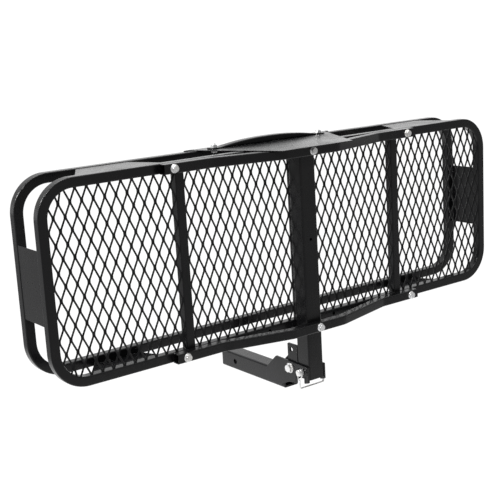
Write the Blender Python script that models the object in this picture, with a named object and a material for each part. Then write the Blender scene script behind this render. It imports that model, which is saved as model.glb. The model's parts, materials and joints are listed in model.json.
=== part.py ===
"""Folding cargo carrier for a square hitch receiver, standing folded.

World frame, metres: X along the basket, +Y toward the vehicle, +Z up.
The origin is the hitch pin axis at the middle of the shank.
"""
import math

import bmesh
import bpy
from mathutils import Matrix, Vector
from mathutils.geometry import tessellate_polygon

IN = 0.0254

# basket
BASKET_LENGTH = 60.0 * IN
BASKET_WIDTH = 20.0 * IN
BASKET_DEPTH = 6.0 * IN
RAIL = 1.0 * IN
RAIL_WALL = 0.002
CORNER_RADIUS = 0.095
PLATE = 0.002
STRAND = 0.0042
MESH_THICKNESS = 0.003
MESH_COLUMNS = 8
MESH_ROWS = 5

# frame joints, measured from the middle of the basket
CROSSBAR_X = 14.6 * IN
FLOOR_BOLT_X = 15.8 * IN
ARCH_OVERLAP = 1.1 * IN
ARCH_KINK_X = 11.3 * IN
ARCH_FLAT_X = 3.5 * IN
RAIL_HOLE_X = 4.56 * IN
RAIL_HOLE_R = 0.0048

# wall plates
END_PLATE_HEIGHT = 7.2 * IN
SIDE_PLATE_IN_X = 15.8 * IN
SIDE_PLATE_OUT_X = 25.4 * IN
SIDE_PLATE_SLANT = 2.2 * IN
CENTRE_PLATE_RIM_X = 9.4 * IN
CENTRE_PLATE_FRONT_X = 4.7 * IN
CENTRE_PLATE_LIP = 0.9 * IN

# arched bar on the centre plate
BAR_END_X = 7.8 * IN
BAR_BOLT_X = 7.2 * IN
BAR_FOOT_X = 6.6 * IN
BAR_RISE = 0.65 * IN
BAR_FOOT = 0.003

# main tube, shank and hinge
SHANK = 2.0 * IN
TUBE = SHANK  # both stand between the clevis plates
TUBE_WALL = 0.003
SHANK_WALL = 0.005
SHANK_LENGTH = 0.300
HITCH_HOLE_R = 0.0081
HITCH_HOLE_FROM_END = 0.066
PIVOT_BEHIND_SHANK = 0.039
PIVOT_OVER_SHANK = 0.021
PIVOT_DEPTH = 1.0 * IN
PIVOT_TO_BASKET = 4.7 * IN
TUBE_BELOW_PIVOT = 0.0215
CLEVIS = 0.00635
EAR = 0.006
EAR_FRONT = 0.016
EAR_TOP = 0.069
LOCK_ARM = 0.052
PIVOT_R = 0.008
LOCK_R = 0.00635
LOCK_HEAD_X = 0.042
LOCK_TIP_X = 0.050
BAIL_R = 0.0016
BAIL_DROP = 0.046

# fasteners
BOLT_R = 0.005
BOLT_FLANGE_R = 0.0115
HEX_R = 0.0092
HEAD = 0.0068
NUT = 0.0080

GAP = 0.0003
RUNNING = 0.00015

# derived
HALF_LENGTH = BASKET_LENGTH / 2
HALF_WIDTH = BASKET_WIDTH / 2
HALF_RAIL = RAIL / 2
SHANK_BACK = HITCH_HOLE_FROM_END - SHANK_LENGTH
PIVOT = Vector((0.0, SHANK_BACK - PIVOT_BEHIND_SHANK, SHANK / 2 + PIVOT_OVER_SHANK))
FLOOR_Y = PIVOT.y - PIVOT_DEPTH
MIDDLE_Z = PIVOT.z + PIVOT_TO_BASKET + HALF_WIDTH
ARCH_Y = -TUBE - 2 * GAP - HALF_RAIL
ARCH_END_X = FLOOR_BOLT_X + ARCH_OVERLAP
RAIL_Z = HALF_WIDTH - HALF_RAIL
CROSSBAR_REACH = RAIL_Z - HALF_RAIL - GAP
BAR_DEPTH = BASKET_DEPTH - 1.5 * RAIL
BAR_Z = HALF_WIDTH + PLATE + 2 * GAP
TUBE_TOP_Z = HALF_WIDTH - PLATE - 3 * GAP
TUBE_Y = -GAP - TUBE / 2
PATH_STEPS = 6


def clear_file():
    for block in list(bpy.data.objects):
        bpy.data.objects.remove(block, do_unlink=True)
    for block in list(bpy.data.meshes):
        bpy.data.meshes.remove(block)


def basket(x, depth, z):
    """A point given along the basket, into it from the floor frame, and up."""
    return Vector((x, FLOOR_Y + depth, MIDDLE_Z + z))


def paint(name, colour, rough, metal):
    material = bpy.data.materials.new(name)
    material.use_nodes = True
    shader = material.node_tree.nodes["Principled BSDF"]
    shader.inputs["Base Color"].default_value = (*colour, 1.0)
    shader.inputs["Roughness"].default_value = rough
    shader.inputs["Metallic"].default_value = metal
    material.diffuse_color = (*colour, 1.0)
    return material


def powder(name):
    return paint(name + "_powder", (0.022, 0.022, 0.024), 0.38, 0.0)


def zinc(name):
    return paint(name + "_zinc", (0.72, 0.73, 0.74), 0.28, 1.0)


def add(name, bm, finish):
    bmesh.ops.remove_doubles(bm, verts=bm.verts, dist=1e-7)
    bmesh.ops.recalc_face_normals(bm, faces=bm.faces)
    mesh = bpy.data.meshes.new(name)
    bm.to_mesh(mesh)
    bm.free()
    item = bpy.data.objects.new(name, mesh)
    bpy.context.scene.collection.objects.link(item)
    mesh.materials.append(finish(name))
    return item


def set_origin(item, point):
    item.data.transform(Matrix.Translation(-point))
    item.location = point


def rounded_square(side, radius, steps=2):
    points = []
    reach = side / 2 - radius
    for corner in range(4):
        turn = math.pi / 2 * corner
        cu = reach * (1 if corner in (0, 3) else -1)
        cv = reach * (1 if corner in (0, 1) else -1)
        for step in range(steps + 1):
            a = turn + math.pi / 2 * step / steps
            points.append((cu + radius * math.cos(a), cv + radius * math.sin(a)))
    return points


def fillet(points, radius, steps):
    """Round the inner corners of an open path of vectors."""
    path = [points[0].copy()]
    for before, here, after in zip(points, points[1:], points[2:]):
        a = (before - here).normalized()
        b = (after - here).normalized()
        half = a.angle(b) / 2
        cut = radius / math.tan(half)
        centre = here + (a + b).normalized() * (radius / math.sin(half))
        start = here + a * cut - centre
        end = here + b * cut - centre
        sweep = start.angle(end)
        for step in range(steps + 1):
            t = step / steps
            s0 = math.sin((1 - t) * sweep) / math.sin(sweep)
            s1 = math.sin(t * sweep) / math.sin(sweep)
            path.append(centre + start * s0 + end * s1)
    path.append(points[-1].copy())
    return path


def rings_along(bm, path, normal, section):
    """Mitred rings of a section swept along a path that lies in one plane."""
    rings = []
    last = len(path) - 1
    for i, point in enumerate(path):
        back = (path[i] - path[i - 1]).normalized() if i else None
        ahead = (path[i + 1] - path[i]).normalized() if i < last else None
        tangent = ((back or ahead) + (ahead or back)).normalized()
        side = normal.cross(tangent).normalized()
        stretch = 1 / tangent.dot(ahead or back)
        rings.append([bm.verts.new(point + side * (u * stretch) + normal * v)
                      for u, v in section])
    return rings


def skin(bm, rings):
    for one, two in zip(rings, rings[1:]):
        count = len(one)
        for k in range(count):
            n = (k + 1) % count
            bm.faces.new((one[k], one[n], two[n], two[k]))


def square_tube(name, path, normal, side, wall, finish=powder):
    bm = bmesh.new()
    outer = rings_along(bm, path, normal, rounded_square(side, side * 0.11))
    inner = rings_along(bm, path, normal, rounded_square(side - 2 * wall, side * 0.05))
    skin(bm, outer)
    skin(bm, inner)
    for a, b in ((outer[0], inner[0]), (outer[-1], inner[-1])):
        skin(bm, [a, b])
    return add(name, bm, finish)


def plate(name, outline, axes, start, thickness, holes=(), finish=powder):
    """A flat plate: outline in the first two axes, thickness along the third."""
    across, up, out = axes
    loops = [[Vector((a, b, 0)) for a, b in outline]]
    for ca, cb, radius in holes:
        loops.append([Vector((ca + radius * math.cos(math.tau * k / 16),
                              cb + radius * math.sin(math.tau * k / 16), 0))
                      for k in range(16)])
    flat = [point for loop in loops for point in loop]
    bm = bmesh.new()
    layers = []
    for level in (0.0, thickness):
        layers.append([bm.verts.new(start + across * p.x + up * p.y + out * level)
                       for p in flat])
    for triangle in tessellate_polygon(loops):
        for layer in layers:
            bm.faces.new([layer[k] for k in triangle])
    first = 0
    for loop in loops:
        count = len(loop)
        for k in range(count):
            a, b = first + k, first + (k + 1) % count
            bm.faces.new((layers[0][a], layers[0][b], layers[1][b], layers[1][a]))
        first += count
    return add(name, bm, finish)


def turned(name, start, axis, levels, sides=12, hollow=False, finish=zinc):
    """Rings stacked along an axis: (distance, radius, is a hexagon)."""
    axis = axis.normalized()
    side = axis.orthogonal().normalized()
    up = axis.cross(side)
    bm = bmesh.new()
    rings = []
    for distance, radius, hexagon in levels:
        ring = []
        for k in range(sides):
            a = math.tau * k / sides
            reach = radius
            if hexagon:
                reach = radius * math.cos(math.pi / 6) / math.cos((a % (math.pi / 3)) - math.pi / 6)
            offset = side * (reach * math.cos(a)) + up * (reach * math.sin(a))
            ring.append(bm.verts.new(start + axis * distance + offset))
        rings.append(ring)
    if hollow:
        rings.append(rings[0])
    else:
        bm.faces.new(rings[0])
        bm.faces.new(rings[-1])
    skin(bm, rings)
    return add(name, bm, finish)


def hex_bolt(name, face, axis, grip, shaft_r=BOLT_R, sides=12):
    """Flanged hex head on the face, shaft along the axis through the grip."""
    tail = grip + NUT + 0.004
    return turned(name, face, axis, [
        (-GAP - HEAD - 0.002, HEX_R * shaft_r / BOLT_R * 0.9, True),
        (-GAP - HEAD * 0.85, HEX_R * shaft_r / BOLT_R, True),
        (-GAP - 0.002, HEX_R * shaft_r / BOLT_R, True),
        (-GAP - 0.002, BOLT_FLANGE_R * shaft_r / BOLT_R, False),
        (-GAP, BOLT_FLANGE_R * shaft_r / BOLT_R, False),
        (-GAP, shaft_r, False), (tail, shaft_r, False)], sides)


def hex_nut(name, face, axis, shaft_r=BOLT_R, sides=12):
    wide = HEX_R * shaft_r / BOLT_R
    hole = shaft_r + RUNNING
    return turned(name, face, axis, [
        (GAP, hole, False), (GAP, wide, True), (GAP + NUT * 0.88, wide, True),
        (GAP + NUT, wide * 0.9, True), (GAP + NUT, hole, False)], sides, hollow=True)


def cutter(name, start, axis, length, radius, sides=24):
    tool = turned(name, start, axis, [(0, radius, False), (length, radius, False)], sides)
    tool.hide_render = True
    tool.display_type = "WIRE"
    return tool


def combine(item, tool, operation):
    change = item.modifiers.new(operation.lower() + "_" + tool.name, "BOOLEAN")
    change.operation = operation
    change.solver = "EXACT"
    change.object = tool
    tool.hide_render = True
    tool.display_type = "WIRE"


def bolt_hole(item, tag, start, axis, length, radius=BOLT_R + GAP, sides=12):
    combine(item, cutter("cut_" + tag, start, axis, length, radius, sides), "DIFFERENCE")


X, Y, Z = Vector((1, 0, 0)), Vector((0, 1, 0)), Vector((0, 0, 1))
SIDES = (("left", -1), ("right", 1))
EDGES = (("top", 1), ("bottom", -1))


def u_path(sign, depth):
    """Half of a rounded loop; the two halves meet in the middle."""
    x_end, x_far = sign * GAP, sign * (HALF_LENGTH - HALF_RAIL)
    corners = [basket(x_end, depth, RAIL_Z), basket(x_far, depth, RAIL_Z),
               basket(x_far, depth, -RAIL_Z), basket(x_end, depth, -RAIL_Z)]
    return fillet(corners, CORNER_RADIUS - HALF_RAIL, PATH_STEPS)


def build_floor_frame():
    for side, sign in SIDES:
        rail = square_tube("floor_rail_" + side, u_path(sign, HALF_RAIL), Y, RAIL, RAIL_WALL)
        for edge, up in EDGES:
            start = basket(sign * FLOOR_BOLT_X, -RAIL, up * RAIL_Z)
            bolt_hole(rail, "floor_" + side + "_" + edge, start, Y, 3 * RAIL)
            start = basket(sign * RAIL_HOLE_X, -HALF_RAIL, up * RAIL_Z)
            bolt_hole(rail, "spare_" + side + "_" + edge, start, Y, RAIL, RAIL_HOLE_R)
        start = basket(sign * CROSSBAR_X, HALF_RAIL, -CROSSBAR_REACH)
        end = basket(sign * CROSSBAR_X, HALF_RAIL, CROSSBAR_REACH)
        square_tube("crossbar_" + side, [start, end], Y, RAIL, RAIL_WALL)
    start, end = basket(0, HALF_RAIL, -CROSSBAR_REACH), basket(0, HALF_RAIL, CROSSBAR_REACH)
    square_tube("crossbar_centre", [start, end], Y, RAIL, RAIL_WALL)


def arch_corners(up):
    z = up * RAIL_Z
    low = -HALF_RAIL - GAP
    return [basket(-ARCH_END_X, low, z), basket(-ARCH_KINK_X, low, z),
            basket(-ARCH_FLAT_X, ARCH_Y, z), basket(ARCH_FLAT_X, ARCH_Y, z),
            basket(ARCH_KINK_X, low, z), basket(ARCH_END_X, low, z)]


def build_floor_arches():
    for edge, up in EDGES:
        path = fillet(arch_corners(up), 2.5 * RAIL, 3)
        arch = square_tube("floor_arch_" + edge, path, Z, RAIL, RAIL_WALL)
        for tag, x in (("a", -FLOOR_BOLT_X), ("b", 0.0), ("c", FLOOR_BOLT_X)):
            start = basket(x, ARCH_Y - RAIL, up * RAIL_Z)
            bolt_hole(arch, "arch_" + edge + tag, start, Y, 5 * RAIL)


def build_rim():
    for side, sign in SIDES:
        square_tube("rim_rail_" + side, u_path(sign, BASKET_DEPTH - HALF_RAIL),
                    Y, RAIL, RAIL_WALL)


def build_end_plates():
    y0, y1 = RAIL + GAP, BASKET_DEPTH - RAIL - GAP
    half = END_PLATE_HEIGHT / 2
    for side, sign in SIDES:
        outline = [(y0, -half), (y1, -half), (y1, half), (y0, half)]
        x = sign * (HALF_LENGTH - 0.0015)
        plate("end_plate_" + side, outline, (Y, Z, X * -sign), basket(x, 0, 0), PLATE)


def build_side_plates():
    y0, y1 = RAIL + GAP, BASKET_DEPTH - RAIL - GAP
    a, b = SIDE_PLATE_IN_X, SIDE_PLATE_OUT_X
    for edge, up in EDGES:
        for side, sign in SIDES:
            outline = [(a, y0), (b, y0), (b - SIDE_PLATE_SLANT, y1),
                       (a + 0.8 * SIDE_PLATE_SLANT, y1)]
            outline = [(sign * u, v) for u, v in outline]
            start = basket(0, 0, up * (HALF_WIDTH - 0.0015))
            plate("side_plate_" + edge + "_" + side, outline, (X, Y, Z * -up), start, PLATE)


def centre_outline():
    """Wide at the rim, narrower where it passes over the floor arch."""
    front = ARCH_Y - HALF_RAIL - CENTRE_PLATE_LIP
    corners = [(CENTRE_PLATE_RIM_X, BASKET_DEPTH), (CENTRE_PLATE_FRONT_X, front)]
    return [(-x, y) for x, y in corners] + corners[::-1]


def build_centre_plate():
    start = basket(0, 0, HALF_WIDTH + GAP)
    holes = [(sign * BAR_BOLT_X, BAR_DEPTH, BOLT_R + GAP) for _, sign in SIDES]
    plate("centre_plate", centre_outline(), (X, Y, Z), start, PLATE, holes)


def bar_height(x):
    """Flat feet, then a rise that eases over the middle."""
    if abs(x) >= BAR_FOOT_X:
        return BAR_FOOT
    share = abs(x) / BAR_FOOT_X
    return BAR_FOOT + (BAR_RISE - BAR_FOOT) * (1 - share ** 2.2)


def build_centre_bar():
    bm = bmesh.new()
    inner = [BAR_FOOT_X * k / 6 for k in range(-6, 7)]
    rings = []
    for x in [-BAR_END_X] + inner + [BAR_END_X]:
        tall = bar_height(x)
        across = rounded_square(1.0, 0.16)
        rings.append([bm.verts.new(basket(x, BAR_DEPTH + u * RAIL, BAR_Z + (v + 0.5) * tall))
                      for u, v in across])
    skin(bm, rings)
    bm.faces.new(rings[0])
    bm.faces.new(rings[-1])
    bar = add("centre_bar", bm, powder)
    for side, sign in SIDES:
        start = basket(sign * BAR_BOLT_X, BAR_DEPTH, BAR_Z - RAIL)
        bolt_hole(bar, "bar_" + side, start, Z, 2 * RAIL)
        under = basket(sign * BAR_BOLT_X, BAR_DEPTH, HALF_WIDTH + GAP)
        hex_bolt("bar_bolt_" + side, under, Z, PLATE + GAP + BAR_FOOT)
        hex_nut("bar_nut_" + side, basket(sign * BAR_BOLT_X, BAR_DEPTH, BAR_Z + BAR_FOOT), Z)


def clip(polygon, point, inward):
    """Part of a convex polygon on the inward side of a line."""
    kept = []
    for p, q in zip(polygon, polygon[1:] + polygon[:1]):
        dp = (p[0] - point[0]) * inward[0] + (p[1] - point[1]) * inward[1]
        dq = (q[0] - point[0]) * inward[0] + (q[1] - point[1]) * inward[1]
        if dp >= -1e-9:
            kept.append(p)
        if (dp > 1e-9 and dq < -1e-9) or (dp < -1e-9 and dq > 1e-9):
            t = dp / (dp - dq)
            kept.append((p[0] + (q[0] - p[0]) * t, p[1] + (q[1] - p[1]) * t))
    return kept


def area(polygon):
    total = 0.0
    for p, q in zip(polygon, polygon[1:] + polygon[:1]):
        total += p[0] * q[1] - p[1] * q[0]
    return total / 2


def shrink(polygon, distance):
    """Inset a convex counter-clockwise polygon."""
    inner = list(polygon)
    for p, q in zip(polygon, polygon[1:] + polygon[:1]):
        length = math.hypot(q[0] - p[0], q[1] - p[1])
        if length < 1e-6 or len(inner) < 3:
            continue
        inward = (-(q[1] - p[1]) / length, (q[0] - p[0]) / length)
        inner = clip(inner, (p[0] + inward[0] * distance, p[1] + inward[1] * distance), inward)
    return inner


def lattice(x0, x1, z0, z1):
    """Diamonds that tile a rectangle, in two staggered sets."""
    dx, dz = (x1 - x0) / MESH_COLUMNS, (z1 - z0) / MESH_ROWS
    for i in range(2 * MESH_COLUMNS + 1):
        for j in range(2 * MESH_ROWS + 1):
            if (i + j) % 2 == 0:
                cx, cz = x0 + i * dx / 2, z0 + j * dz / 2
                yield [(cx + dx / 2, cz), (cx, cz + dz / 2), (cx - dx / 2, cz), (cx, cz - dz / 2)]


def panel_edges(x0, x1, z0, z1, rounded):
    """Lines that bound a panel; the far end can have rounded corners."""
    lines = [((x0, 0), (1, 0)), ((x1, 0), (-1, 0)), ((0, z0), (0, 1)), ((0, z1), (0, -1))]
    radius = CORNER_RADIUS - RAIL
    if rounded:
        far = x1 if rounded > 0 else x0
        for up in (-1, 1):
            cx, cz = far - rounded * radius, (z1 if up > 0 else z0) - up * radius
            for step in (1, 2, 3, 4):
                a = math.pi / 2 * step / 5
                out = (rounded * math.cos(a), up * math.sin(a))
                reach = 0.955 * radius
                lines.append(((cx + out[0] * reach, cz + out[1] * reach), (-out[0], -out[1])))
    return lines


def mesh_panel(name, x0, x1, rounded):
    z1 = RAIL_Z - HALF_RAIL - 2 * GAP
    lines = panel_edges(x0, x1, -z1, z1, rounded)
    bm = bmesh.new()
    for cell in lattice(x0, x1, -z1, z1):
        for point, inward in lines:
            cell = clip(cell, point, inward)
        cell = [p for p, q in zip(cell, cell[1:] + cell[:1]) if math.dist(p, q) > 1e-6]
        if len(cell) < 3 or area(cell) < 1e-8:
            continue
        hole = shrink(cell, STRAND / 2)
        hole = [p for p, q in zip(hole, hole[1:] + hole[:1]) if math.dist(p, q) > 1e-5]
        loops = [[Vector((*p, 0)) for p in cell]]
        if len(hole) > 2 and area(hole) > 2e-5:
            loops.append([Vector((*p, 0)) for p in hole])
        flat = [bm.verts.new(basket(p.x, 0.003, p.y)) for loop in loops for p in loop]
        for triangle in tessellate_polygon(loops):
            bm.faces.new([flat[k] for k in triangle])
    bmesh.ops.remove_doubles(bm, verts=bm.verts, dist=2e-6)
    made = bmesh.ops.extrude_face_region(bm, geom=bm.faces[:], use_keep_orig=True)
    lifted = [v for v in made["geom"] if isinstance(v, bmesh.types.BMVert)]
    bmesh.ops.translate(bm, verts=lifted, vec=Y * MESH_THICKNESS)
    return add(name, bm, powder)


def build_mesh_floor():
    far = HALF_LENGTH - RAIL - 2 * GAP
    bar = CROSSBAR_X + HALF_RAIL + 2 * GAP
    near = CROSSBAR_X - HALF_RAIL - 2 * GAP
    mid = HALF_RAIL + 2 * GAP
    mesh_panel("mesh_outer_left", -far, -bar, -1)
    mesh_panel("mesh_inner_left", -near, -mid, 0)
    mesh_panel("mesh_inner_right", mid, near, 0)
    mesh_panel("mesh_outer_right", bar, far, 1)


def build_floor_bolts():
    for edge, up in EDGES:
        z = up * RAIL_Z
        for side, sign in SIDES:
            tag = edge + "_" + side
            hex_bolt("floor_bolt_" + tag, basket(sign * FLOOR_BOLT_X, -RAIL - GAP, z), Y,
                     2 * RAIL + GAP)
            hex_nut("floor_nut_" + tag, basket(sign * FLOOR_BOLT_X, RAIL, z), Y)
        face = basket(0, ARCH_Y - HALF_RAIL, z)
        grip = -ARCH_Y + HALF_RAIL - TUBE_WALL - GAP
        turned("tube_bolt_" + edge, face, Y, [
            (-GAP - HEAD - 0.002, HEX_R * 0.9, True), (-GAP - HEAD * 0.85, HEX_R, True),
            (-GAP - 0.002, HEX_R, True), (-GAP - 0.002, BOLT_FLANGE_R, False),
            (-GAP, BOLT_FLANGE_R, False), (-GAP, BOLT_R, False),
            (grip - NUT, BOLT_R, False)], 12)


def build_main_tube():
    bottom = PIVOT - Z * TUBE_BELOW_PIVOT
    low = Vector((0, FLOOR_Y + TUBE_Y, bottom.z))
    high = Vector((0, FLOOR_Y + TUBE_Y, MIDDLE_Z + TUBE_TOP_Z))
    tube = square_tube("main_tube", [low, high], Y, TUBE, TUBE_WALL)
    for edge, up in EDGES:
        start = basket(0, ARCH_Y - RAIL, up * RAIL_Z)
        bolt_hole(tube, "tube_" + edge, start, Y, RAIL * 1.5 + TUBE / 2)
    start = PIVOT + Vector((-TUBE, -LOCK_ARM, 0))
    bolt_hole(tube, "tube_lock", start, X, 2 * TUBE, LOCK_R + GAP, 24)
    start = basket(0, TUBE_Y - TUBE, 0)
    bolt_hole(tube, "tube_vent", start, Y, TUBE, 0.004)


def build_hinge_channel():
    """Channel on the tube's front face that carries the pivot."""
    half, web = TUBE / 2, 0.004
    back = FLOOR_Y - PIVOT.y
    outline = [(-half, back), (half, back), (half, EAR_FRONT), (half - EAR, EAR_FRONT),
               (half - EAR, back + web), (-half + EAR, back + web),
               (-half + EAR, EAR_FRONT), (-half, EAR_FRONT)]
    start = PIVOT - Z * EAR_FRONT
    channel = plate("hinge_channel", outline, (X, Y, Z), start, EAR_FRONT + EAR_TOP)
    bolt_hole(channel, "ear_pivot", PIVOT - X * TUBE, X, 2 * TUBE, PIVOT_R + RUNNING, 24)
    bolt_hole(channel, "ear_lock", PIVOT + Vector((-TUBE, 0, LOCK_ARM)), X, 2 * TUBE,
              LOCK_R + GAP, 24)


def clevis_outline():
    front, rear = 0.110, TUBE + PIVOT_DEPTH + GAP
    bottom = -PIVOT_OVER_SHANK - SHANK + 0.010
    slot_rear = -LOCK_ARM - LOCK_R - 0.0008
    shoulder = LOCK_R + 0.0012
    inside_sweep = LOCK_ARM - LOCK_R - 0.0012
    underside = [(y, -math.sqrt(inside_sweep ** 2 - y ** 2)) for y in (-0.020, 0.010)]
    arch = [(slot_rear, 0.0)]
    for step in range(1, 4):
        a = math.pi - math.pi / 2 * step / 3
        arch.append((-LOCK_ARM + shoulder * math.cos(a) * 0.95, shoulder * math.sin(a)))
    return [(front, -PIVOT_OVER_SHANK - 0.001), (0.064, 0.021), (-rear, 0.017),
            (-rear, -0.028), (slot_rear, -0.033)] + arch + [
            (-LOCK_ARM + 0.014, shoulder), (-0.028, shoulder - 0.005),
            (-0.0255, -0.006)] + underside + [
            (0.034, -0.0545), (0.045, bottom), (front, bottom)]


def build_clevis():
    for side, sign in SIDES:
        start = PIVOT + X * (sign * (SHANK / 2 + GAP))
        holes = [(0.0, 0.0, PIVOT_R + GAP)]
        plate("clevis_plate_" + side, clevis_outline(), (Y, Z, X * sign), start, CLEVIS, holes)
    outside = SHANK / 2 + GAP + CLEVIS
    turned("pivot_bolt", PIVOT - X * outside, X, [
        (-GAP - 0.0105, 0.0105, True), (-GAP - 0.0090, 0.0115, True),
        (-GAP - 0.0025, 0.0115, True), (-GAP - 0.0025, 0.0145, False),
        (-GAP, 0.0145, False), (-GAP, PIVOT_R, False),
        (2 * outside + 0.014, PIVOT_R, False)], 24)
    turned("pivot_nut", PIVOT + X * outside, X, [
        (GAP, PIVOT_R + RUNNING, False), (GAP, 0.0115, True), (GAP + 0.009, 0.0115, True),
        (GAP + 0.010, 0.0105, True), (GAP + 0.010, PIVOT_R + RUNNING, False)], 24, hollow=True)


def build_shank():
    start = Vector((0, SHANK_BACK, 0))
    end = Vector((0, HITCH_HOLE_FROM_END, 0))
    shank = square_tube("shank_tube", [start, end], Z, SHANK, SHANK_WALL)
    bolt_hole(shank, "hitch_pin", Vector((-SHANK, 0, 0)), X, 2 * SHANK, HITCH_HOLE_R, 24)


def round_wire(name, path, radius, sides=8):
    """A round wire along any path, with rings carried without twist."""
    bm = bmesh.new()
    rings, side = [], None
    last = len(path) - 1
    for i, point in enumerate(path):
        back = (path[i] - path[i - 1]).normalized() if i else None
        ahead = (path[i + 1] - path[i]).normalized() if i < last else None
        tangent = ((back or ahead) + (ahead or back)).normalized()
        side = (side - tangent * side.dot(tangent)) if side else tangent.orthogonal()
        side.normalize()
        up = tangent.cross(side)
        rings.append([bm.verts.new(point + side * (radius * math.cos(math.tau * k / sides))
                                   + up * (radius * math.sin(math.tau * k / sides)))
                      for k in range(sides)])
    skin(bm, rings)
    bm.faces.new(rings[0])
    bm.faces.new(rings[-1])
    return add(name, bm, zinc)


def build_lock_pin():
    axis = PIVOT - Y * LOCK_ARM
    outside = SHANK / 2 + GAP + CLEVIS
    collar = LOCK_HEAD_X - outside - GAP
    turned("lock_pin", axis - X * (outside + 0.001), X, [
        (0, LOCK_R, False), (outside + LOCK_TIP_X - 0.003, LOCK_R, False),
        (outside + LOCK_TIP_X, LOCK_R * 0.6, False)], 24)
    turned("pin_head", axis - X * (outside + 0.001 + GAP), X * -1, [
        (0, LOCK_R * 1.5, False), (collar + 0.004, LOCK_R * 1.5, False),
        (collar + 0.0055, LOCK_R * 1.2, False)], 24)
    hang = axis - X * LOCK_HEAD_X
    far = LOCK_HEAD_X + LOCK_TIP_X - 0.006
    ear = LOCK_R * 1.5 + BAIL_R + GAP
    corners = [Vector((0, ear, 0.0)), Vector((0, ear, -0.006)), Vector((0, 0, -0.024)),
               Vector((0, 0, -BAIL_DROP)), Vector((far, 0, -BAIL_DROP)),
               Vector((far, 0, -LOCK_R - BAIL_R - 0.002))]
    bail = round_wire("pin_bail", fillet([hang + c for c in corners], 0.0045, 3), BAIL_R)
    corners = [Vector((0, -ear, 0.0)), Vector((0, -ear, -0.006)), Vector((0, 0, -0.0243)),
               Vector((0, 0, -0.032))]
    leg = round_wire("join_leg", fillet([hang + c for c in corners], 0.0040, 3), BAIL_R * 0.98)
    combine(bail, leg, "UNION")


def set_joint_origins():
    objects = bpy.data.objects
    lock = PIVOT - Y * LOCK_ARM
    for name in ("main_tube", "hinge_channel"):
        set_origin(objects[name], PIVOT)
    for name in ("lock_pin", "pin_head"):
        set_origin(objects[name], lock)
    set_origin(objects["pin_bail"], lock - X * LOCK_HEAD_X)


def main():
    clear_file()
    build_shank()
    build_clevis()
    build_main_tube()
    build_hinge_channel()
    build_lock_pin()
    build_floor_frame()
    build_floor_arches()
    build_floor_bolts()
    build_rim()
    build_end_plates()
    build_side_plates()
    build_centre_plate()
    build_centre_bar()
    build_mesh_floor()
    set_joint_origins()


main()
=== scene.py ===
import json
import math
import bmesh
import bpy
from mathutils import Matrix, Vector


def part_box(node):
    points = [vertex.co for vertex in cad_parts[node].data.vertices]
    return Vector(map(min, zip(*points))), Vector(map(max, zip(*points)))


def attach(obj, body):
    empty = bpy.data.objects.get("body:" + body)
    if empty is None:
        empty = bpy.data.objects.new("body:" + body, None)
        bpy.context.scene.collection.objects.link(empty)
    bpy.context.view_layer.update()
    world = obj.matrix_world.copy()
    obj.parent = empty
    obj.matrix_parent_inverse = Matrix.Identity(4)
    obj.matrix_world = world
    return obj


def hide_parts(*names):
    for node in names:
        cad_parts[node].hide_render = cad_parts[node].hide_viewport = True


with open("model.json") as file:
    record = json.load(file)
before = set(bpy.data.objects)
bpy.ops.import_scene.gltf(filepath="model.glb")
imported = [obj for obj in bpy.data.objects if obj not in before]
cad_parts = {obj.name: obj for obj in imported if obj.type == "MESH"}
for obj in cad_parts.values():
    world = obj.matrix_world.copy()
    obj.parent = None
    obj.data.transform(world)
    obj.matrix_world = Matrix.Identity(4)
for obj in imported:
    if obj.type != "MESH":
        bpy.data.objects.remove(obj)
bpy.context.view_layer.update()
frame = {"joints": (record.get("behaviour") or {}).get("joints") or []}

joints = {j["name"]: j for j in frame["joints"]}
pivot = Vector(joints["fold"]["pos_m"])
lockArm = 0.052
lockAxis = pivot - Vector((0, lockArm, 0))
axisX, axisY, axisZ = Vector((1, 0, 0)), Vector((0, 1, 0)), Vector((0, 0, 1))
sides = (("left", -1), ("right", 1))
edges = (("top", 1), ("bottom", -1))

tubeLook = {"corner": 0.0034, "cornerSteps": 5, "wall": 0.0020, "bendSteps": 16}
railLook = {"bend": 0.095, "holeX": 0.115824, "holeR": 0.0048}
archLook = {"kink": 0.28702, "flat": 0.0889, "bend": 0.055}
barLook = {"foot": 0.16764, "footThick": 0.0029, "ease": 2.2, "steps": 44, "corner": 0.0034}
mainLook = {"corner": 0.0048, "wall": 0.0030, "size": 0.0508, "vent": 0.0042}
shankLook = {"corner": 0.0052, "wall": 0.0050, "size": 0.0508, "pinHole": 0.0081}
meshLook = {"across": 0.01525, "along": 0.0622, "wide": 0.0047, "thick": 0.0024,
            "tilt": -28, "bond": 0.008, "depth": 0.0042}
boltLook = {"shaft": 0.005, "hex": 0.0092, "head": 0.0064, "flange": 0.0112, "nut": 0.0076,
            "pitch": 0.0015}
plateLook = {"bevel": 0.0005, "round": 0.004, "narrow": 0.11938}
weldLook = {"radius": 0.0026, "pitch": 0.0031, "ripple": 0.16}
bailLook = {"radius": 0.0016, "drop": 0.046}
cameraLook = {"lens": 75.1, "place": (-1.76827, -2.45522, 1.00119),
              "right": (0.79452, -0.60471, -0.05536), "ahead": (0.58213, 0.78444, -0.21396)}
stageLook = {"ahead": (0.596, 0.803, 0.0), "across": (0.803, -0.596, 0.0), "apart": 3.4,
             "dimAt": -2.0, "litAt": -0.7, "dim": 0.34, "frontSky": 0.26,
             "backSky": 1.6, "topSky": 0.9, "overBack": 0.50}


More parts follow.
